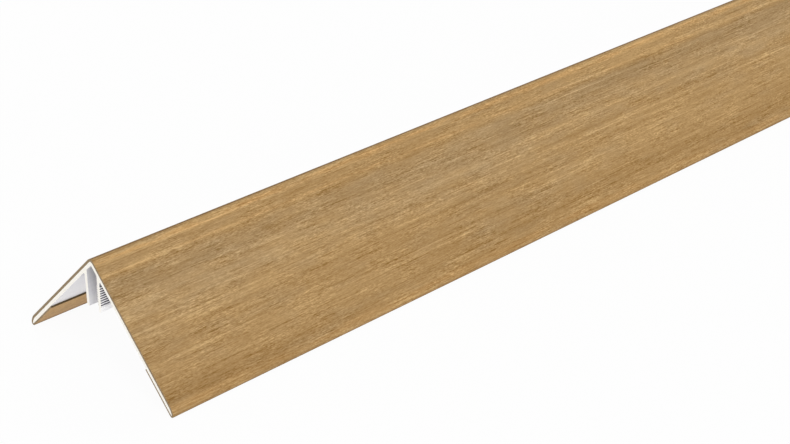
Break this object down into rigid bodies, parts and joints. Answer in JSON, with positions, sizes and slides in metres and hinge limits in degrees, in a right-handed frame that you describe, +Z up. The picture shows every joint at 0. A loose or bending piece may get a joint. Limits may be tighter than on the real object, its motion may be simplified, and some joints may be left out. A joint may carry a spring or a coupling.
{
  "type": "outside corner profile",
  "caption": "White plastic outside corner trim, wood-look cover wrapped over both legs, two clip ribs inside; 60 x 60 mm, 3 m long.",
  "frame": {"origin": "at floor level, midway between the tips of the two legs and midway along the length", "axes": "+Y along the length, +Z up through the outer corner, +X across towards the leg beside the toothed rib"},
  "size_m": [0.0828, 3, 0.0431],
  "materials": {
    "core_plastic": "satin white",
    "wood_cover": "matt wood-look"
  },
  "bodies": {
    "root": {"core": "core_plastic", "cover": "wood_cover"}
  },
  "joints": []
}
